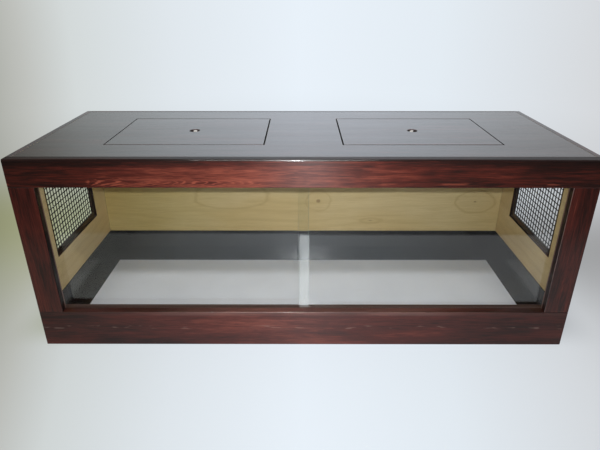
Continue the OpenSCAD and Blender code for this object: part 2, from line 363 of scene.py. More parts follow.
def stained(
    name,
    grain,
    seed,
    depth=0.0,
    gloss=0.20,
    shine=0.5,
    lively=1.0,
    worn=0.3,
    layers=None,
    figure_glow=None,
    flames=None,
    darker_edge=None,
    worn_lit=None,
    flecks=None,
    back_line=None,
    painted_glint=None,
):
    """Dark red-brown stain and gloss varnish over streaky wood.

    Depth darkens the stain, gloss is the roughness of its varnish, shine how much varnish there
    is, lively how strong the grain is, and worn how far the edges are rubbed. Layers names the
    axis across the layers of a sawn edge. The rest are marks, each with a function above.
    """
    mat, t = material(name)
    point = along_grain(t, grain, seed)
    x, y, z = t.split(t.place())
    wander = grain_noise(t, point, WANDER, 3)
    sway = t.times(t.add(wander, -0.5), SWAY)
    swayed = (point[0], t.add(point[1], sway), t.add(point[2], sway))
    streak = grain_noise(t, swayed, STREAK, 5, 0.62)
    vein = grain_noise(t, swayed, VEIN, 4, 0.62)
    fibre = grain_noise(t, swayed, FIBRE, 2, 0.6)
    cloud = grain_noise(t, point, CLOUD, 3)
    value = t.add(
        t.times(streak, 0.50 * lively),
        t.times(vein, 0.66 * lively),
        t.times(cloud, 0.34),
        STAIN_TONE - GRAIN_MEAN * lively - depth,
    )
    # A stretch of lighter grain with a painted glow of the lamp's light
    if figure_glow:
        value = t.add(value, figure_and_glow(t, x, figure_glow))
    if flames:
        value = t.add(value, flame_light(t, x, z, wander, seed, flames))
    if darker_edge:
        value = t.add(value, edge_darkening(t, x, z, darker_edge))
    if layers:
        value = t.add(value, t.times(t.wave({"x": x, "z": z}[layers], LAYER_PAIR), 0.07))
    colour = t.ramp(
        value, (0.38, BROWN_DARK), (0.52, BROWN_MID), (0.66, BROWN_RED), (0.86, BROWN_LIGHT)
    )
    pores = t.step(fibre, 0.56, 0.68)
    colour = t.mix(t.times(pores, 0.45), colour, BROWN_DARK)
    wear = t.times(edge_wear(t, WOOD_WEAR), t.step(cloud, 0.35, 0.70, 0.1 * worn, worn))
    colour = t.mix(wear, colour, BROWN_WORN_AND_LIT)
    # Paler towards an edge: worn stain with painted highlight
    if worn_lit:
        colour = with_worn_lit_stain(t, colour, x, z, cloud, worn_lit)
    if flecks:
        colour = with_flecks(t, colour, x, z, seed, flecks)
    if back_line:
        colour = with_pale_back_line(t, colour, y, back_line)
    # A painted glint: a pale spot
    if painted_glint:
        colour = with_painted_glint(t, colour, x, z, painted_glint)
    smear = grain_noise(t, point, SMEAR, 4, 0.6)
    height = t.add(t.times(fibre, 0.5), t.times(vein, 0.5))
    t.surface(
        t.principled(
            Base_Color=colour,
            Roughness=t.add(t.step(smear, 0.30, 0.75, 0.38, 0.46), t.times(pores, 0.10)),
            IOR=1.20 + 0.35 * shine,
            Anisotropic=0.9,
            Tangent=t.put("Tangent", direction_type="RADIAL", axis=grain.upper()),
            Normal=t.bump(height, 0.20, 0.0004),
            Coat_Weight=shine,
            Coat_IOR=1.5,
            Coat_Roughness=gloss,
            Coat_Normal=t.bump(height, 0.10, 0.0004),
        )
    )
    return mat


def worn_lit_round(name, grain, seed, most=0.85, reach=None):
    """The rounded edge of a rail or stile, paler in patches: rubbed varnish and painted highlight.

    Most is the strongest paling. With a reach, the paling fades that far from the middle plane.
    """
    mat, t = material(name)
    point = along_grain(t, grain, seed)
    patch = grain_noise(t, point, (9, 60), 4, 0.6)
    fibre = grain_noise(t, point, (60, 900), 2)
    pale_share = t.step(patch, 0.30, 0.66, 0.12 * most, most)
    if reach:
        away = t.size(t.split(t.place())[0])
        pale_share = t.times(pale_share, t.step(away, 0.6 * reach, reach, 1.0, 0.25))
    colour = t.mix(pale_share, BROWN_MID, BROWN_WORN_AND_LIT)
    colour = t.mix(t.step(fibre, 0.50, 0.68, 0.0, 0.5), colour, BROWN_DARK)
    t.surface(
        t.principled(
            Base_Color=colour,
            Roughness=t.step(patch, 0.3, 0.7, 0.30, 0.42),
            IOR=1.55,
            Normal=t.bump(fibre, 0.10, 0.0003),
            Coat_Weight=1.0,
            Coat_Roughness=0.10,
        )
    )
    return mat


# Half the width of the line round a mark in the veneer
MARK_LINE = 0.0023


def with_marks(t, colour, a, level, seed, marks):
    """A closed, trembling line round each mark in a veneer, and a knot in the middle of some."""
    tremble = t.noise(t.vector(t.times(a, 14), t.times(level, 40), seed), detail=2)
    rings = knots = 0.0
    for along, across, half_a, half_b, knot in marks:
        u = t.over(t.add(a, -along), half_a)
        v = t.over(t.add(level, -across), half_b)
        r = t.length(u, v)
        off = t.add(r, t.times(tremble, 0.40), -1.20)
        ring = t.bell(off, (half_b / MARK_LINE) ** 2)
        rings = t.add(rings, ring, t.step(r, 1.0, 0.8, 0.0, 0.16))
        if knot:
            knots = t.add(knots, t.step(r, knot / half_a, 0.5 * knot / half_a))
    colour = t.mix(t.times(rings, 0.40), colour, PLY_LINE)
    return t.mix(t.times(knots, 0.75), colour, PLY_KNOT)


def ply(name, grain, seed, face, marks=(), end_shade=()):
    """Pale birch veneer with faint lines along the grain.

    Face says whether the lines follow each other "across" the board or into it, "deep". A mark is
    (along, across, half length, half height, radius of its knot). Stretches with painted shade are
    darker: (where that starts, where it is full, tint).
    """
    mat, t = material(name)
    a, b, c = point = along_grain(t, grain, 0)
    level = {"across": b, "deep": c}[face]
    drift = t.noise(t.vector(t.add(t.times(a, 1.6), seed), t.times(level, 6), seed), detail=3)
    line = t.crest(t.add(t.times(level, 34), t.times(drift, 4.5)), 1.0, 3.0)
    fibre = grain_noise(t, point, (18, 420), 3, 0.6)
    fleck = grain_noise(t, point, (60, 900), 1)
    cloud = grain_noise(t, point, (3, 8), 3)
    colour = t.mix(t.step(cloud, 0.30, 0.70), PLY_PALE, PLY_TAN)
    colour = t.mix(t.step(fibre, 0.35, 0.75, 0.0, 0.30), colour, PLY_LINE)
    colour = t.mix(t.times(line, t.step(cloud, 0.2, 0.8, 0.04, 0.26)), colour, PLY_LINE)
    colour = t.mix(t.step(fleck, 0.66, 0.76, 0.0, 0.35), colour, PLY_LINE)
    if marks:
        colour = with_marks(t, colour, a, level, seed, marks)
    # Painted shade: darker stretches towards the ends
    for start, full, tint in end_shade:
        colour = t.mix(t.step(a, start, full), colour, tint, blend="MULTIPLY")
    smear = t.noise(t.place(), scale=11.0, detail=3)
    height = t.add(t.times(fibre, 0.6), t.times(line, 0.2))
    t.surface(
        t.principled(
            Base_Color=colour,
            Roughness=t.step(smear, 0.3, 0.7, 0.42, 0.55),
            IOR=1.45,
            Normal=t.bump(height, 0.18, 0.0004),
            Coat_Weight=0.12,
            Coat_Roughness=0.25,
        )
    )
    return mat


def ply_edge(name, layers):
    """The sawn edge of a ply board, with its layers across that axis."""
    mat, t = material(name)
    parts = dict(zip("xyz", t.split(t.place())))
    band = t.wave(parts[layers], LAYER_PAIR)
    crumbs = t.noise(t.place(), scale=900.0, detail=3, rough=0.7)
    share = t.step(t.add(t.times(band, 0.5), t.times(crumbs, 0.6)), -0.2, 0.9)
    t.surface(
        t.principled(
            Base_Color=t.mix(share, PLY_PALE, PLY_LINE),
            Roughness=t.step(crumbs, 0.3, 0.7, 0.62, 0.80),
            Normal=t.bump(t.add(crumbs, t.times(band, 0.3)), 0.35, 0.0004),
        )
    )
    return mat


def white_face(name):
    """Smooth white satin face of the bottom board, with faint scuffs."""
    mat, t = material(name)
    cloud = t.noise(t.place(), scale=7.0, detail=4, rough=0.55)
    grit = t.noise(t.place(), scale=1400.0, detail=1)
    scuff = t.drawn_noise((9, 70, 1), detail=3)
    colour = t.mix(t.step(cloud, 0.3, 0.75), WHITE_CLEAN, WHITE_DULL)
    colour = t.mix(t.step(scuff, 0.62, 0.80, 0.0, 0.25), colour, WHITE_SCUFF)
    t.surface(
        t.principled(
            Base_Color=colour,
            Roughness=t.step(cloud, 0.3, 0.7, 0.34, 0.46),
            Normal=t.bump(grit, 0.06, 0.0003),
        )
    )
    return mat


def black_lining(name):
    """Glossy black waterproof sheet, with a slight ripple, dust and fine scratches."""
    mat, t = material(name)
    ripple = t.noise(t.place(), scale=14.0, detail=2)
    dust = t.noise(t.place(), scale=700.0, detail=3, rough=0.7)
    scratch = t.drawn_noise((30, 500, 500), detail=2)
    haze = t.noise(t.place(), scale=6.0, detail=4, rough=0.6)
    matt = t.step(haze, 0.3, 0.75, 0.16, 0.27)
    t.surface(
        t.principled(
            Base_Color=t.mix(t.step(dust, 0.55, 0.85, 0.0, 0.3), LINING_BLACK, LINING_DUST),
            Roughness=t.add(matt, t.step(scratch, 0.60, 0.80, 0.0, 0.04)),
            IOR=1.52,
            Normal=t.bump(t.add(ripple, t.times(scratch, 0.01)), 0.06, 0.002),
            Coat_Weight=0.15,
            Coat_Roughness=0.20,
        )
    )
    return mat


def track_plastic(name, base, worn):
    """Brown extruded plastic, with die lines along its length and rubbed edges."""
    mat, t = material(name)
    lines = t.drawn_noise((3, 1800, 1800), detail=2)
    cloud = t.noise(t.place(), scale=30.0, detail=3)
    wear = t.times(edge_wear(t, TRACK_WEAR), t.step(cloud, 0.3, 0.7, 0.2, 0.8))
    red, green, blue, _ = base
    line_colour = (0.6 * red, 0.6 * green, 0.6 * blue, 1)
    colour = t.mix(t.step(lines, 0.35, 0.7, 0.0, 0.5), base, line_colour)
    t.surface(
        t.principled(
            Base_Color=t.mix(wear, colour, worn),
            Roughness=t.step(cloud, 0.3, 0.7, 0.30, 0.42),
            Normal=t.bump(lines, 0.12, 0.0002),
        )
    )
    return mat


def coated_wire(name):
    """Dark coating on wire, satin, uneven and rubbed in places."""
    mat, t = material(name)
    lumps = t.noise(t.place(), scale=420.0, detail=3)
    cloud = t.noise(t.place(), scale=24.0, detail=3)
    t.surface(
        t.principled(
            Base_Color=t.mix(t.step(cloud, 0.35, 0.75), WIRE_BLACK, WIRE_RUBBED),
            Metallic=0.2,
            Roughness=t.step(lumps, 0.3, 0.7, 0.30, 0.48),
            Normal=t.bump(lumps, 0.25, 0.0003),
        )
    )
    return mat


def passivated_steel(name):
    """Zinc plate with a yellow passivated film, and turning marks."""
    mat, t = material(name)
    cloud = t.noise(t.place(), scale=160.0, detail=3)
    marks = t.drawn_noise((900, 900, 3000), detail=2)
    t.surface(
        t.principled(
            Base_Color=t.mix(t.step(cloud, 0.3, 0.7), STEEL_YELLOW, STEEL_GREY),
            Metallic=1.0,
            Roughness=t.step(marks, 0.3, 0.7, 0.26, 0.42),
            Normal=t.bump(marks, 0.15, 0.0002),
        )
    )
    return mat


def let_light_through(t, shader, tint):
    """Rays from the lamps and from soft light pass straight through the glass."""
    clear = t.put("BsdfTransparent", {"Color": tint})
    for kind in ("Diffuse", "Shadow"):
        shader = t.mix_shader(t.ray(kind), shader, clear)
    return shader


# How far the painted reflection fades in from its left, right, bottom and top edges
REFLECTION_FADES = (0.0006, 0.0012, 0.004, 0.006)


def overlap_reflection_share(t, reflection_box):
    """How much the painted reflection covers the pane: nothing outside its (left, right, bottom,
    top).
    """
    x, _, z = t.split(t.place())
    left, right, bottom, top = reflection_box
    fade_left, fade_right, fade_bottom, fade_top = REFLECTION_FADES
    inside = t.times(t.step(x, left, left + fade_left), t.step(x, right, right - fade_right))
    between = t.times(t.step(z, bottom, bottom + fade_bottom), t.step(z, top, top - fade_top))
    cloud = t.drawn_noise((60, 60, 22), detail=4)
    return t.times(t.times(inside, between), t.step(cloud, 0.25, 0.75, 0.08, 0.13))


def pane_glass(name, reflection_box=None):
    """Clear float glass with faint smears. Where the panes overlap, a pale film can lie on it: a
    painted reflection.
    """
    mat, t = material(name)
    smear = t.drawn_noise((5, 5, 11), detail=5, rough=0.6)
    glass = t.principled(
        Base_Color=GLASS_CLEAR,
        Roughness=t.step(smear, 0.45, 0.80, 0.0, 0.035),
        IOR=1.50,
        Transmission_Weight=1.0,
    )
    if reflection_box:
        dots = t.noise(t.place(), scale=520.0, detail=2)
        reflection_film = t.principled(Base_Color=GLASS_REFLECTION_FILM, Roughness=t.step(dots, 0.3, 0.7, 0.45, 0.7))
        glass = t.mix_shader(overlap_reflection_share(t, reflection_box), glass, reflection_film)
    t.surface(let_light_through(t, glass, GLASS_TINT))
    return mat


def ground_edge(name):
    """Ground edge of float glass: pale green and matt."""
    mat, t = material(name)
    grind = t.drawn_noise((700, 700, 90), detail=3)
    t.surface(
        t.principled(
            Base_Color=t.mix(t.step(grind, 0.3, 0.7), EDGE_GREEN, EDGE_PALE),
            Roughness=t.step(grind, 0.3, 0.7, 0.30, 0.50),
            IOR=1.50,
            Transmission_Weight=0.35,
            Normal=t.bump(grind, 0.2, 0.0002),
        )
    )
    return mat


# Places on the frame that the finishes refer to
top_rail_low, top_rail_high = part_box("front_top_rail")
low_rail_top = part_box("front_bottom_rail")[1].z
inner_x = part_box("right_side_board")[0].x
window_low, window_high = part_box("right_vent_bead")
floor_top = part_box("bottom_board")[1].z
track_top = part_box("lower_glass_track")[1].z
# The finger holes are in the middle of the hatches, and their faces lie within this reach
hatch_boxes = [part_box(f"{side}_hatch") for side in SIDES]
hatch_top = hatch_boxes[0][1].z
hole_x = [(low.x + high.x) / 2 for low, high in hatch_boxes]
hole_y = (hatch_boxes[0][0].y + hatch_boxes[0][1].y) / 2
HOLE_REACH = 0.016

# Lighter figure with a painted glow in the front rails: its middle along X, half its length, how
# light
TOP_FIGURE_GLOW = (-0.10, 0.32, 0.20)
LOW_FIGURE_GLOW = (-0.03, 0.30, 0.12)
# Flames at the left of the top rail
FLAME_SPAN = (-0.46, -0.05)
FLAME_RISE, FLAME_HALF = 0.011, 0.010
# Rows of flecks: their height over the top rail's foot and over the ground, and half that row
TOP_FLECK_RISE, TOP_FLECK_HALF = 0.008, 0.0026
LOW_FLECK_RISE, LOW_FLECK_HALF = 0.049, 0.006
# Darker along the top rail's upper edge, from this far below it, fully from that far
DARK_EDGE_START, DARK_EDGE_AT, DARK_EDGE_DROP = 0.019, 0.009, 0.14
# Worn stain with painted highlight along the bottom rail's upper edge, from and fully from this
# far below it
WORN_LIT_START, WORN_LIT_END = 0.012, 0.005
# The pale line along the back edge of the stiles' inner faces
REVEAL_LINE = 0.005
# The painted glint in a finger hole: half its width, and how far below the lid's face it starts
GLINT_HALF, GLINT_DROP = 0.0052, 0.0014

worn_lit_from, worn_lit_to = low_rail_top - WORN_LIT_START, low_rail_top - WORN_LIT_END
STAINED_X = stained(
    "stained_rail",
    "x",
    1,
    lively=0.62,
    figure_glow=TOP_FIGURE_GLOW,
    flames=(*FLAME_SPAN, top_rail_low.z + FLAME_RISE, FLAME_HALF),
    flecks=(top_rail_low.z + TOP_FLECK_RISE, TOP_FLECK_HALF, BROWN_LIGHT),
    darker_edge=(top_rail_high.z - DARK_EDGE_START, top_rail_high.z - DARK_EDGE_AT, DARK_EDGE_DROP),
)
STAINED_X_LOW = stained(
    "stained_lower_rail",
    "x",
    2,
    depth=-0.025,
    lively=0.40,
    figure_glow=LOW_FIGURE_GLOW,
    flecks=(LOW_FLECK_RISE, LOW_FLECK_HALF, BROWN_WORN_AND_LIT),
    worn_lit=(worn_lit_from, worn_lit_to, 0.42, 0.40),
)
STAINED_STILES = {
    "left": stained("stained_left_stile", "z", 3, depth=-0.065, lively=0.55),
    "right": stained("stained_right_stile", "z", 16, depth=-0.035, lively=0.55),
}
# Painted shade: the stiles' inner faces and the left stile's inner round in a darker stain
STAINED_REVEAL_SHADE = stained(
    "stained_reveal_painted_shade",
    "z",
    15,
    depth=0.12,
    shine=0.2,
    lively=0.5,
    back_line=(top_rail_high.y, REVEAL_LINE),
)
STAINED_TOP = stained(
    "stained_top", "x", 4, depth=0.06, gloss=0.14, shine=1.0, lively=0.7, worn=0.1
)
STAINED_HATCH = stained(
    "stained_hatch", "x", 5, depth=0.05, gloss=0.12, shine=1.0, lively=0.7, worn=0.1
)
STAINED_HOLE = stained(
    "stained_finger_hole",
    "x",
    12,
    depth=0.16,
    gloss=0.07,
    shine=0.6,
    worn=0.0,
    painted_glint=(hole_x[1], GLINT_HALF, hatch_top - GLINT_DROP),
)
STAINED_SIDE = stained("stained_side", "y", 6)
STAINED_BACK = stained("stained_back", "x", 7)
STAINED_INNER = stained("stained_batten", "x", 8, depth=0.04)
STAINED_EDGE_Z = stained(
    "stained_edge_of_top", "x", 9, depth=0.16, shine=0.1, layers="z", worn=0.0
)
STAINED_EDGE_X = stained("stained_edge_of_side", "y", 10, depth=0.06, layers="x", worn=0.1)
STAINED_BEAD = stained("stained_bead", "y", 11, depth=0.08, worn=0.1)
STAINED_ARRIS = stained(
    "stained_arris_of_rail", "x", 17, depth=0.09, gloss=0.10, shine=1.0, lively=0.5, worn=0.2
)
STAINED_RAIL_TOP = stained("stained_top_of_rail", "x", 18, depth=0.08, shine=0.25, lively=0.6)
STAINED_SILL = stained(
    "stained_top_of_lower_rail",
    "x",
    19,
    shine=0.25,
    lively=0.4,
    figure_glow=LOW_FIGURE_GLOW,
    worn_lit=(worn_lit_from, worn_lit_to, 0.26, 0.36),
)
# Paler rounds of the bottom rail and the right stile: rubbed varnish with painted highlight
WORN_LIT_ROUND_X = worn_lit_round("worn_lit_edge_of_rail", "x", 13, most=1.0, reach=0.44)
WORN_LIT_ROUND_Z = worn_lit_round("worn_lit_edge_of_stile", "z", 14)
# Along, across, half length, half height, radius of the knot
BACK_MARKS = (
    (-0.213, 0.201, 0.112, 0.041, 0),
    (0.046, 0.186, 0.036, 0.032, 0.008),
    (0.512, 0.184, 0.058, 0.034, 0.005),
    (0.204, 0.122, 0.030, 0.008, 0.007),
)
# Painted shade: the back is darker towards both ends, where less of the lamp's light falls
BACK_END_SHADE = ((-0.05, -0.52, OLIVE_END_SHADE), (0.15, 0.55, TAN_END_SHADE))
PLY_BACK = ply("ply_back", "x", 0.4, "deep", marks=BACK_MARKS, end_shade=BACK_END_SHADE)
PLY_SIDE = ply("ply_side", "y", 1.7, "deep")
PLY_FLAT = ply("ply_flat", "x", 2.9, "across")
PLY_EDGE_Z = ply_edge("ply_edge_of_base", "z")
WHITE = white_face("white_face")
BLACK = black_lining("black_lining_sheet")
TRACK_LOW = track_plastic("track_brown", TRACK_BROWN, TRACK_WORN)
TRACK_LIP_LIT = track_plastic("track_lip_painted_highlight", LIP_HIGHLIGHT, LIP_HIGHLIGHT_WORN)
WIRE = coated_wire("coated_wire")
STEEL = passivated_steel("passivated_steel")
EDGE_GLASS = ground_edge("ground_glass_edge")
GLASS = pane_glass("float_glass")

# A painted reflection where the panes overlap, a little beside it, up to this height
REFLECTION_TOP = 0.276
REFLECTION_SHIFT = 0.0024
overlap_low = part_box("right_glass")[0]
overlap_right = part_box("left_glass")[1].x
GLASS_WITH_REFLECTION = pane_glass(
    "float_glass_painted_reflection",
    (overlap_low.x + REFLECTION_SHIFT, overlap_right + REFLECTION_SHIFT, overlap_low.z, REFLECTION_TOP),
)

# Broken edges of the boards, of thin parts, of the top board with its openings and of the glass
WOOD_EDGE = 0.0007
THIN_EDGE = 0.0003
OPENING_EDGE = 0.0013
GLASS_EDGE = 0.0004
WELD_REACH = 1e-6
FLAT_ANGLE = math.radians(1)
SHARP_ANGLE = math.radians(40)

# Parts of a face's normal along an axis: square to it, quite level, turned half away, well inside
# a round, and anywhere on a round
SQUARE = 0.9
LEVEL = 0.995
TURNED = 0.5
ON_ROUND = 0.35
ON_ROUND_EDGE = 0.05
# How near a face's middle lies to a plane that it is on
NEAR = 1e-4


def faces(axis, sign):
    """A test for faces that look along that axis."""
    return lambda normal, centre: normal["xyz".index(axis)] * sign > SQUARE


def on_plane(axis, sign, place):
    """A test for faces that look along that axis and lie at that place."""
    i = "xyz".index(axis)
    return lambda normal, centre: normal[i] * sign > SQUARE and abs(centre[i] - place) < NEAR


def upright(normal, centre):
    """The sawn edges of a level board."""
    return abs(normal.z) < SQUARE


def across_pane(normal, centre):
    """The ground edges of a pane."""
    return abs(normal.y) < SQUARE


def on_upper_round(normal, centre):
    """The middle of the round along the bottom rail's upper edge."""
    return normal.y < -ON_ROUND and normal.z > ON_ROUND


def on_top_round(normal, centre):
    """The whole round along the top rail's upper edge."""
    return normal.y < -ON_ROUND_EDGE and normal.z > ON_ROUND_EDGE


def on_inner_round(normal, centre):
    """The round along the inner front edge of a stile."""
    return normal.y < -ON_ROUND and normal.x * centre.x < 0 and abs(normal.x) > ON_ROUND


def in_finger_hole(normal, centre):
    """The wall and the round of a hatch's finger hole."""
    if abs(normal.z) > LEVEL:
        return False
    return min((centre - Vector((x, hole_y, centre.z))).length for x in hole_x) < HOLE_REACH


def on_hole_round(normal, centre):
    """The upper part of the round of a hatch's finger hole."""
    return normal.z > TURNED and in_finger_hole(normal, centre)


def in_window(normal, centre):
    """The sawn edges of the window in a side board."""
    return (
        abs(normal.x) < TURNED
        and window_low.y - NEAR <= centre.y <= window_high.y + NEAR
        and window_low.z - NEAR <= centre.z <= window_high.z + NEAR
    )


def break_edges(node, width, rounds, own_edge):
    """Rounds the sharp edges a little, in the plain material or in that of the faces beside."""
    weld = node.modifiers.new("weld", "WELD")
    weld.merge_threshold = WELD_REACH
    flat = node.modifiers.new("flat", "DECIMATE")
    flat.decimate_type = "DISSOLVE"
    flat.angle_limit = FLAT_ANGLE
    flat.delimit = {"MATERIAL"}
    bevel = node.modifiers.new("edge", "BEVEL")
    bevel.width = width
    bevel.segments = rounds
    bevel.limit_method = "ANGLE"
    bevel.angle_limit = SHARP_ANGLE
    bevel.harden_normals = True
    if own_edge:
        bevel.material = 0
    bevel.use_clamp_overlap = False


def dress(name, plain, rules=(), edge=WOOD_EDGE, rounds=2, own_edge=True):
    """Gives a CAD node its materials, face by face, and breaks its sharp edges.

    A face takes the material of the first rule whose test it passes, or else the plain one.
    """
    node = nodes[name]
    node.data.materials.clear()
    node.data.materials.append(plain)
    for _, mat in rules:
        node.data.materials.append(mat)
    for face in node.data.polygons:
        face.material_index = 0
        for i, (test, _) in enumerate(rules):
            if test(face.normal, face.center):
                face.material_index = i + 1
                break
    if edge:
        break_edges(node, edge, rounds, own_edge)


def dress_front():
    top_rules = ((faces("z", 1), STAINED_RAIL_TOP), (on_top_round, STAINED_ARRIS))
    dress("front_top_rail", STAINED_X, top_rules)
    low_rules = ((faces("z", 1), STAINED_SILL), (on_upper_round, WORN_LIT_ROUND_X))
    dress("front_bottom_rail", STAINED_X_LOW, low_rules)
    dress("sill_board", STAINED_INNER, edge=0)
    dress("header_board", STAINED_INNER)
    # The lower track's top faces are lighter: painted highlight
    lip_rule = (on_plane("z", 1, track_top), TRACK_LIP_LIT)
    dress("lower_glass_track", TRACK_LOW, (lip_rule,), edge=THIN_EDGE)
    dress("upper_glass_track", TRACK_LOW, edge=THIN_EDGE)


def dress_side(side, inward):
    """The pieces that the cabinet has on both sides. Inward is the way to its middle along X."""
    # The left stile's inner round takes the painted shade, the right one the paler round with
    # painted highlight
    round_finish = STAINED_REVEAL_SHADE if side == "left" else WORN_LIT_ROUND_Z
    stile_rules = ((on_inner_round, round_finish), (faces("x", inward), STAINED_REVEAL_SHADE))
    dress(f"front_{side}_stile", STAINED_STILES[side], stile_rules)
    dress(f"{side}_jamb", STAINED_STILES[side])
    inside = on_plane("x", inward, -inward * inner_x)
    dress(f"{side}_side_board", STAINED_SIDE, ((inside, PLY_SIDE), (in_window, STAINED_EDGE_X)))
    dress(f"{side}_vent_bead", STAINED_BEAD)
    dress(f"{side}_lining", BLACK, edge=THIN_EDGE)
    hatch_rules = (
        (faces("z", -1), PLY_FLAT),
        (on_hole_round, STAINED_HATCH),
        (in_finger_hole, STAINED_HOLE),
        (upright, STAINED_EDGE_Z),
    )
    dress(f"{side}_hatch", STAINED_HATCH, hatch_rules)
    dress(f"{side}_hatch_ledge", PLY_FLAT, edge=0)
    dress(
        f"{side}_glass",
        GLASS if side == "left" else GLASS_WITH_REFLECTION,
        ((across_pane, EDGE_GLASS),),
        edge=GLASS_EDGE,
        rounds=1,
        own_edge=False,
    )


def dress_rest():
    top_rules = ((faces("z", -1), PLY_FLAT), (upright, STAINED_EDGE_Z))
    dress("top_board", STAINED_TOP, top_rules, edge=OPENING_EDGE)
    dress("back_board", STAINED_BACK, ((faces("y", -1), PLY_BACK),))
    base_rules = ((on_plane("z", 1, floor_top), WHITE), (upright, PLY_EDGE_Z))
    dress("bottom_board", PLY_FLAT, base_rules, edge=0)
    dress("back_lining", BLACK, edge=THIN_EDGE)
    dress("front_lining", BLACK, edge=THIN_EDGE)


def piece(name, points, polygons, mat, node, body="carcase", smooth=True):
    """A new piece that stands for a CAD node, which it hides, and takes the material it is given.
    """
    mesh = bpy.data.meshes.new(name)
    mesh.from_pydata(points, [], polygons)
    mesh.materials.append(mat)
    mesh.polygons.foreach_set("use_smooth", [smooth] * len(polygons))
    mesh.validate()
    mesh.update()
    made = bpy.data.objects.new(name, mesh)
    bpy.context.scene.collection.objects.link(made)
    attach(made, body)
    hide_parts(node)
    return made


WIRE_PITCH = 0.0132
WIRE_SIDES = 8
# A wire is thicker by this share where it crosses another, over about this length
WIRE_SWELL = 0.55
SWELL_REACH = 0.0017
# Where a wire gets its rings round a crossing, in lengths of the swell
RING_STEPS = (-2.2, -1.1, -0.55, 0.0, 0.55, 1.1, 2.2)


def wire_places(start, end, radius):
    """Where the wires of one direction lie, evenly about the middle."""
    count = int((end - start - 2 * radius) / WIRE_PITCH) + 1
    first = (start + end) / 2 - (count - 1) * WIRE_PITCH / 2
    return [first + i * WIRE_PITCH for i in range(count)]


def ring_places(start, end, crossings):
    """Where a wire has its rings: at its ends, and round each crossing."""
    places = {start, end}
    for crossing in crossings:
        for offset in RING_STEPS:
            places.add(min(max(crossing + offset * SWELL_REACH, start), end))
    return sorted(places)


def wire_width(along, crossings, radius):
    """Half the width of a wire at a place along it."""
    near = min(abs(along - crossing) for crossing in crossings)
    return radius * (1 + WIRE_SWELL * math.exp(-((near / SWELL_REACH) ** 2)))


def wire_skin(rings, run):
    """The faces between the rings of a wire that runs along that axis, and its two ends."""
    skin = []
    for one, two in zip(rings, rings[1:]):
        for k in range(WIRE_SIDES):
            n = (k + 1) % WIRE_SIDES
            quad = (one[k], one[n], two[n], two[k])
            skin.append(quad if run == "z" else quad[::-1])
    first, last = tuple(rings[0]), tuple(rings[-1])
    return skin + ([first, last[::-1]] if run == "y" else [first[::-1], last])


def wire_net(side):
    """The net in a window: round wires that join where they cross."""
    low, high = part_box(f"{side}_vent_mesh")
    middle_x = (low.x + high.x) / 2
    radius = (high.x - low.x) / 2
    spans = {"y": (low.y, high.y), "z": (low.z, high.z)}
    rows = {axis: wire_places(*span, radius) for axis, span in spans.items()}
    points, polygons = [], []
    for run, stack in (("y", "z"), ("z", "y")):
        stations = ring_places(*spans[run], rows[run])
        lowest, highest = spans[stack]
        for place in rows[stack]:
            rings = []
            for along in stations:
                wide = wire_width(along, rows[run], radius)
                rings.append(range(len(points), len(points) + WIRE_SIDES))
                for k in range(WIRE_SIDES):
                    turn = 2 * math.pi * (k + 0.5) / WIRE_SIDES
                    x = middle_x + radius * math.cos(turn)
                    off = min(max(place + wide * math.sin(turn), lowest), highest)
                    points.append((x, along, off) if run == "y" else (x, off, along))
            polygons += wire_skin(rings, run)
    piece(f"{side}_wire_net", points, polygons, WIRE, f"{side}_vent_mesh")


HEAD_SIDES = 24
# The cross recess, as shares of the head's radius and of its thickness
RECESS_ARM, RECESS_HALF = 0.62, 0.17
RECESS_DEPTH = 0.55
# A head is this many shanks thick. A shank is this share of the CAD's
HEAD_RATIO = 0.6
SHANK_SHARE = 0.92
# Points of the CAD's screws that are nearer than this belong to one screw
SCREW_REACH = 0.012


def screw_groups(node):
    """The points of the CAD's screws, screw by screw."""
    groups = {}
    for vertex in node.data.vertices:
        p = node.matrix_world @ vertex.co
        for x, y in groups:
            if math.hypot(p.x - x, p.y - y) < SCREW_REACH:
                groups[x, y].append(p)
                break
        else:
            groups[p.x, p.y] = [p]
    return groups.values()


def recess_reach(turn):
    """How far the cross recess reaches in that direction, as a share of the head."""
    off = abs((turn + math.pi / 4) % (math.pi / 2) - math.pi / 4)
    return min(RECESS_ARM, RECESS_HALF / max(math.sin(off), 1e-6))


def screw_rings(head, core, base, length):
    """The rings from the recess to the tip: (radius, whether it follows the cross, height)."""
    thick = 2 * HEAD_RATIO * core
    shank = SHANK_SHARE * core
    return (
        (0.04 * head, False, base + RECESS_DEPTH * thick),
        (0.55 * head, True, base + RECESS_DEPTH * thick),
        (head, True, base),
        (0.88 * head, False, base),
        (head, False, base + 0.12 * thick),
        (head, False, base + 0.92 * thick),
        (0.9 * head, False, base + thick),
        (shank, False, base + 1.05 * thick),
        (shank, False, base + 0.90 * length),
        (0.15 * shank, False, base + length),
    )


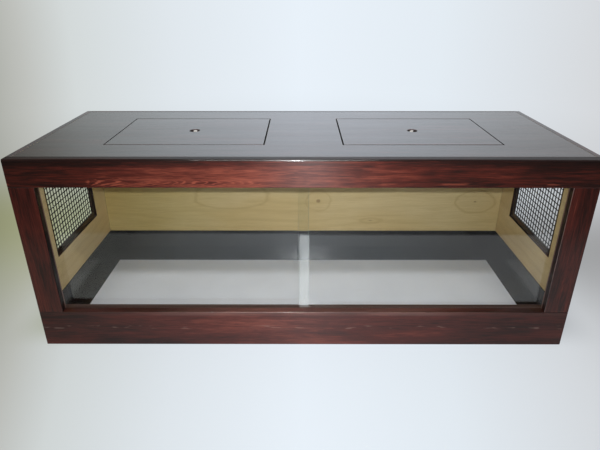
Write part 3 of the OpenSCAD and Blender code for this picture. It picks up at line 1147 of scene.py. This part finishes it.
def add_screw(points, polygons, group):
    """A countersunk head with a cross recess, and a tapered shank, in the place of a screw."""
    low, high = [[pick(p[i] for p in group) for i in range(3)] for pick in (min, max)]
    middle_x, middle_y = (low[0] + high[0]) / 2, (low[1] + high[1]) / 2
    head = (high[0] - low[0]) / 2 * math.cos(math.pi / HEAD_SIDES)
    core = min(math.hypot(p.x - middle_x, p.y - middle_y) for p in group)
    rings = []
    for reach, crossed, z in screw_rings(head, core, low[2], high[2] - low[2]):
        rings.append(range(len(points), len(points) + HEAD_SIDES))
        for k in range(HEAD_SIDES):
            turn = 2 * math.pi * k / HEAD_SIDES
            r = reach * recess_reach(turn) if crossed else reach
            points.append((middle_x + r * math.cos(turn), middle_y + r * math.sin(turn), z))
    for one, two in zip(rings, rings[1:]):
        for k in range(HEAD_SIDES):
            n = (k + 1) % HEAD_SIDES
            polygons.append((one[k], two[k], two[n], one[n]))
    polygons.append(tuple(rings[0]))
    polygons.append(tuple(reversed(rings[-1])))


def screws(node_name):
    points, polygons = [], []
    for group in screw_groups(nodes[node_name]):
        add_screw(points, polygons, group)
    piece(f"{node_name}_cross", points, polygons, STEEL, node_name, smooth=False)


# Floor and backdrop: a pool of light on a pale sheet, softer to the sides
FLOOR_REACH = 30.0
POOL_PLACE_Y = -1.18
POOL_SLOPE = 0.97
POOL_CORE, SKY_CORE = 0.85, 0.05
SHEET_END_Y, SHEET_FADE = -0.757, 0.02
# The sheet shines by itself, a painted glow: GLOW_NEAR of it near the cabinet, more from here on,
# and fully from there on, to meet the backdrop
GLOW_START, GLOW_FULL = 1.2, 3.2
GLOW_NEAR = 0.83
# The colours below run from this slope to the left to the same slope to the right
RAMP_SLOPE = 0.6
PALE_STOPS = (
    (0.00, (0.430, 0.440, 0.405, 1)),
    (0.05, (0.520, 0.532, 0.505, 1)),
    (0.13, (0.655, 0.695, 0.695, 1)),
    (0.30, (0.750, 0.805, 0.850, 1)),
    (0.50, (0.815, 0.885, 0.955, 1)),
    (0.72, (0.775, 0.840, 0.900, 1)),
    (1.00, (0.665, 0.682, 0.705, 1)),
)
# How bright the backdrop looks in a reflection, from the left to the right
SHINE_STOPS = (
    (0.00, (0.50, 0.50, 0.50, 1)),
    (0.12, (0.79, 0.80, 0.80, 1)),
    (0.28, (1.08, 1.09, 1.10, 1)),
    (0.50, (1.31, 1.30, 1.33, 1)),
    (0.62, (1.30, 1.29, 1.32, 1)),
    (0.88, (1.00, 1.00, 1.00, 1)),
    (1.00, (0.88, 0.88, 0.88, 1)),
)
# Shade on the sheet at each side of the cabinet: where along Y, how long, and its colour
SHADES = {
    -1: (0.46, 0.50, (0.72, 0.73, 0.47, 1)),
    1: (0.25, 0.40, (0.56, 0.55, 0.54, 1)),
}
SHADE_NEAR, SHADE_FAR, SHADE_FADE = 0.52, 0.85, 0.1
# Darker still right beside it, from the front corner backwards
CORNER_REACH = 0.13
CORNER_TINTS = {-1: (0.70, 0.71, 0.56, 1), 1: (0.68, 0.68, 0.68, 1)}
CORNER_START = (cad_low.y - 0.02, cad_low.y + 0.10)
CORNER_END = (cad_high.y + 0.1, cad_low.y + 0.2)
ROOM = (0.045, 0.045, 0.045, 1)
# Directions, by their Y: over the first pair a reflection turns from the dim room to the backdrop,
# and over the second the soft light turns from that of the backdrop to that of the room
BACKDROP_Y = (-0.15, 0.25)
FRONT_Y = (0.1, -0.5)


def on_ramp(t, slope):
    """The place on a ramp for a slope to the side."""
    return t.add(t.times(slope, 0.5 / RAMP_SLOPE), 0.5)


def pool_colour(t, x, y, core):
    """The pale colour at a place on the floor, or in a direction of the backdrop."""
    away = t.times(y, POOL_SLOPE)
    reach = t.math("SQRT", t.add(t.times(away, away), core**2))
    return t.ramp(on_ramp(t, t.over(x, reach)), *PALE_STOPS)


def shade(t, x, y, side, colour):
    """Darkens the sheet at that side of the cabinet."""
    middle, half, tint = SHADES[side]
    out = t.times(x, side)
    along = t.bell(t.over(t.add(y, -middle), half))
    beside = t.step(out, SHADE_NEAR, SHADE_FAR)
    colour = t.mix(t.times(along, beside), colour, tint, blend="MULTIPLY")
    close = t.times(
        t.step(out, cad_high.x + CORNER_REACH, cad_high.x),
        t.step(out, SHADE_NEAR - SHADE_FADE, SHADE_NEAR),
    )
    corner = t.times(t.step(y, *CORNER_START), t.step(y, *CORNER_END))
    return t.mix(t.times(close, corner), colour, CORNER_TINTS[side], blend="MULTIPLY")


def seen_straight(t):
    """1 for what the camera sees directly or through the glass."""
    return t.math("MAXIMUM", t.ray("Camera"), t.ray("Transmission"))


def floor_sheet(name):
    """A pale sheet that mostly shines by itself, fully far out. A reflection shows the dim room at
    its front.
    """
    mat, t = material(name)
    x, y, _ = t.split(t.place())
    colour = pool_colour(t, x, t.add(y, -POOL_PLACE_Y), POOL_CORE)
    for side in (-1, 1):
        colour = shade(t, x, y, side, colour)
    fibre = t.noise(t.place(), scale=60.0, detail=4)
    lit = t.principled(Base_Color=colour, Roughness=0.75, Normal=t.bump(fibre, 0.05, 0.001))
    glow = t.put("Emission", {"Color": colour, "Strength": 1.0})
    share = t.step(t.length(x, y), GLOW_START, GLOW_FULL, GLOW_NEAR, 1.0)
    shown = t.mix_shader(t.times(seen_straight(t), share), lit, glow)
    dark = t.put("Emission", {"Color": ROOM, "Strength": 1.0})
    beyond = t.times(t.ray("Glossy"), t.step(y, SHEET_END_Y, SHEET_END_Y - SHEET_FADE))
    t.surface(t.mix_shader(beyond, shown, dark))
    return mat


def make_floor():
    mesh = bpy.data.meshes.new("floor")
    r = FLOOR_REACH
    mesh.from_pydata([(-r, -r, 0), (r, -r, 0), (r, r, 0), (-r, r, 0)], [], [(0, 1, 2, 3)])
    floor = bpy.data.objects.new("floor", mesh)
    bpy.context.scene.collection.objects.link(floor)
    floor.data.materials.append(floor_sheet("floor_sheet"))


def make_world():
    """Soft light, the pale backdrop, and how the room looks in a reflection."""
    world = bpy.data.worlds.new("studio")
    bpy.context.scene.world = world
    t = Tree(world)
    x, y, _ = t.split(t.put("TexCoord", out=0))
    pale = pool_colour(t, x, y, SKY_CORE)
    tilt = t.over(x, t.math("MAXIMUM", y, 0.05))
    dim = t.ramp(on_ramp(t, tilt), *SHINE_STOPS)
    gloss = t.mix(t.step(y, *BACKDROP_Y), ROOM, t.mix(1.0, pale, dim, blend="MULTIPLY"))
    level = t.step(y, *FRONT_Y, AMBIENT, AMBIENT_FRONT)
    soft = t.put("Background", {"Color": AMBIENT_COLOUR, "Strength": level})
    shine = t.put("Background", {"Color": gloss, "Strength": 1.0})
    shown = t.put("Background", {"Color": pale, "Strength": 1.0})
    mixed = t.mix_shader(t.ray("Glossy"), soft, shine)
    t.put("OutputWorld", {"Surface": t.mix_shader(seen_straight(t), mixed, shown)})


def area_light(name, place, aim, power, size, colour, spread=math.pi):
    """A flat lamp at a place, with its size along X and across, that looks at a point."""
    data = bpy.data.lights.new(name, "AREA")
    data.shape = "RECTANGLE"
    data.size, data.size_y = size
    data.energy = power
    data.color = colour
    data.spread = spread
    lamp = bpy.data.objects.new(name, data)
    lamp.location = place
    lamp.rotation_euler = (Vector(aim) - Vector(place)).to_track_quat("-Z", "Y").to_euler()
    bpy.context.scene.collection.objects.link(lamp)


def make_lamps():
    middle = (cad_low + cad_high) / 2
    strip_size = (STRIP_LENGTH, STRIP_WIDTH)
    area_light("ceiling_strip", STRIP_PLACE, middle, STRIP_POWER, strip_size, STRIP_COLOUR)
    place = Vector(CAMERA_PLACE) + Vector(LAMP_OFFSET)
    lamp_size = (LAMP_SIZE, LAMP_SIZE)
    area_light("camera_lamp", place, middle, LAMP_POWER, lamp_size, LAMP_COLOUR, LAMP_SPREAD)


def make_camera():
    data = bpy.data.cameras.new("camera")
    data.lens = CAMERA_LENS_MM
    data.sensor_width = SENSOR_MM
    data.clip_start, data.clip_end = CLIP_NEAR, CLIP_FAR
    camera = bpy.data.objects.new("camera", data)
    camera.location = CAMERA_PLACE
    camera.rotation_euler = Euler(CAMERA_TURN, "XYZ")
    bpy.context.scene.collection.objects.link(camera)
    bpy.context.scene.camera = camera


dress_front()
dress_side("left", 1)
dress_side("right", -1)
dress_rest()
for net_side in SIDES:
    wire_net(net_side)
for screw_node in ("ledge_screws", "base_screws"):
    screws(screw_node)
make_floor()
make_world()
make_lamps()
make_camera()
bpy.context.scene.view_settings.view_transform = "Standard"
